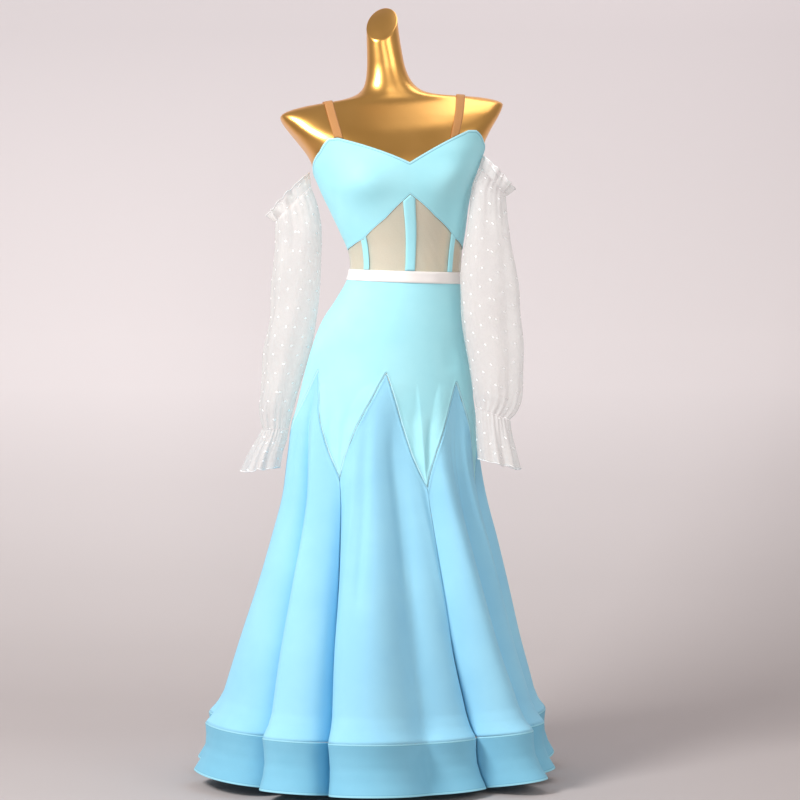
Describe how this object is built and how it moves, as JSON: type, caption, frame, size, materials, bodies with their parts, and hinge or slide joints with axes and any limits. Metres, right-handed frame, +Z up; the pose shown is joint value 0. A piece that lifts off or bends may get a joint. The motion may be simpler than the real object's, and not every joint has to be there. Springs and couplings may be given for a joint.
{
  "type": "ballroom dance dress on a limbless dress form",
  "caption": "Full-length ballroom dance dress with a flared godet skirt, see-through midriff and hanging sleeves, resting by its straps on a smooth limbless dress form with a round base.",
  "frame": {"origin": "middle of the underside of the form's round base, on the floor", "axes": "+Z up; the dress's front faces -Y; +X is towards the viewer's right when facing the front"},
  "size_m": [0.69, 0.6807, 1.4649],
  "materials": {
    "aqua_crepe": "matte stretch crepe",
    "aqua_georgette": "matte georgette",
    "aqua_hem_band": "stiffened matte",
    "nude_mesh": "see-through mesh",
    "white_satin": "satin",
    "tan_elastic": "matte woven elastic",
    "white_organza": "sheer, dotted",
    "gold_lacquer": "high gloss",
    "steel_stand": "satin"
  },
  "bodies": {
    "root": {"belt": "white_satin", "bodice_back": "aqua_crepe", "bodice_front": "aqua_crepe", "bone_centre": "aqua_crepe", "bone_left": "aqua_crepe", "bone_right": "aqua_crepe", "cuff_left": "white_organza", "cuff_right": "white_organza", "dress_form": "gold_lacquer", "form_base": "steel_stand", "form_pole": "steel_stand", "frill_left": "white_organza", "frill_right": "white_organza", "godet_1": "aqua_georgette", "godet_2": "aqua_georgette", "godet_3": "aqua_georgette", "godet_4": "aqua_georgette", "godet_5": "aqua_georgette", "godet_6": "aqua_georgette", "hem_band_1": "aqua_hem_band", "hem_band_2": "aqua_hem_band", "hem_band_3": "aqua_hem_band", "hem_band_4": "aqua_hem_band", "hem_band_5": "aqua_hem_band", "hem_band_6": "aqua_hem_band", "midriff_back": "nude_mesh", "midriff_front": "nude_mesh", "sleeve_left": "white_organza", "sleeve_right": "white_organza", "strap_left": "tan_elastic", "strap_right": "tan_elastic", "yoke_back": "aqua_crepe", "yoke_front": "aqua_crepe"}
  },
  "joints": []
}
